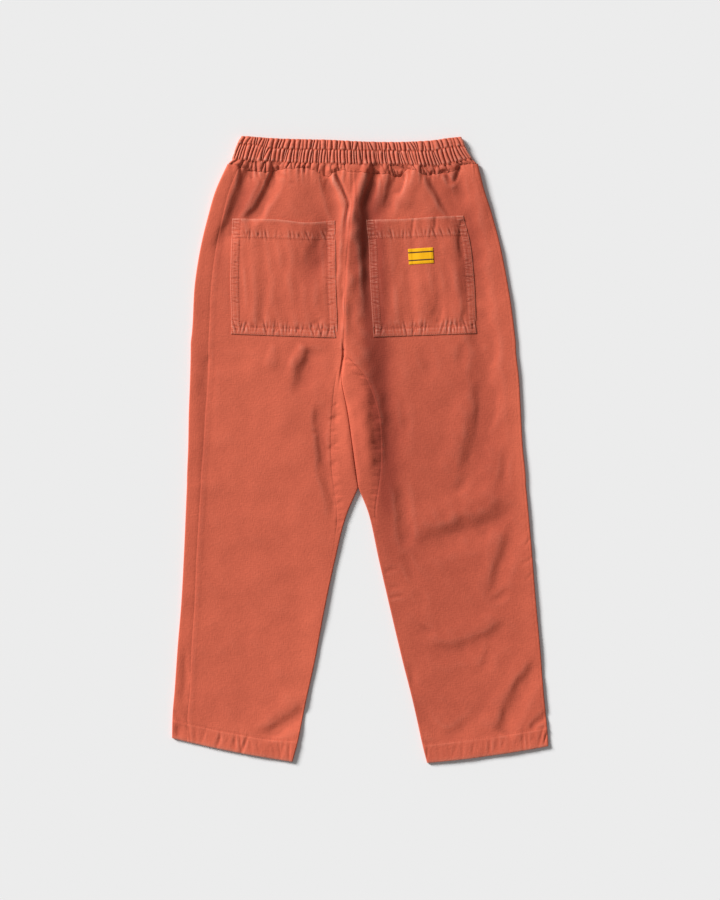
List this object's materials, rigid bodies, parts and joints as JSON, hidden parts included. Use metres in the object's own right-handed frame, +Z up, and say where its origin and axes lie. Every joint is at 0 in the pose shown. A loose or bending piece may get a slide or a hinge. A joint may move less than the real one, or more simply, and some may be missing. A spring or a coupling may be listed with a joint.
{
  "type": "chef pants laid flat",
  "caption": "Loose straight chef trousers with a gathered elastic waistband and patch pockets on the seat, lying flat on the front with the back side up.",
  "frame": {"origin": "middle of the outline on the surface that the trousers lie on", "axes": "+X to the right across the back as it lies, +Y from the hems to the waistband, +Z up off the surface"},
  "size_m": [0.602, 1, 0.0126],
  "materials": {
    "canvas": "garment-dyed cotton canvas, matt",
    "woven_label": "yellow woven label with two dark stripes"
  },
  "bodies": {
    "root": {"waistband": "canvas", "back_left": "canvas", "back_right": "canvas", "front_left": "canvas", "front_right": "canvas", "pocket_left": "canvas", "pocket_right": "canvas", "label": "woven_label"}
  },
  "joints": []
}
